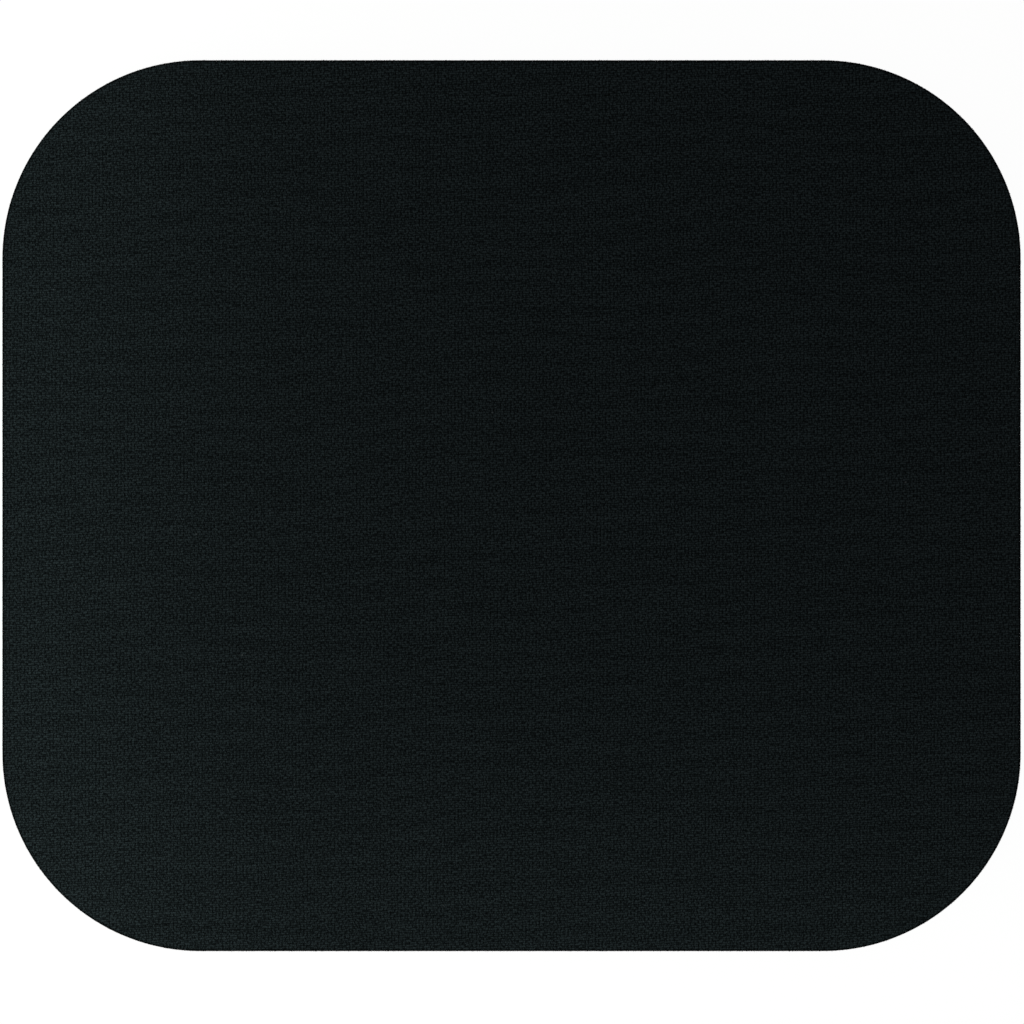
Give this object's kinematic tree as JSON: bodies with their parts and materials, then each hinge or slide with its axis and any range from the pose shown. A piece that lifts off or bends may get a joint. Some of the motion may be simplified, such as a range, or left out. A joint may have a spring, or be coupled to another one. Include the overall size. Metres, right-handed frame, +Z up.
{
  "type": "mouse pad",
  "caption": "Flat cloth-topped mouse pad, a rounded rectangle with large corners, laminated from knitted cloth, sponge rubber and a textured non-slip rubber base.",
  "frame": {"origin": "middle of the underside, on the desk", "axes": "+X along the width, to the user's right; +Y away from the user; +Z up, out of the cloth face"},
  "size_m": [0.2286, 0.2, 0.006],
  "materials": {
    "knit_cloth": "matte",
    "hot_melt_film": "satin",
    "sponge_rubber": "matte",
    "base_rubber": "matte"
  },
  "bodies": {
    "root": {"knit_cloth_top": "knit_cloth", "bonding_film": "hot_melt_film", "sponge_core": "sponge_rubber", "nonslip_base": "base_rubber"}
  },
  "joints": []
}
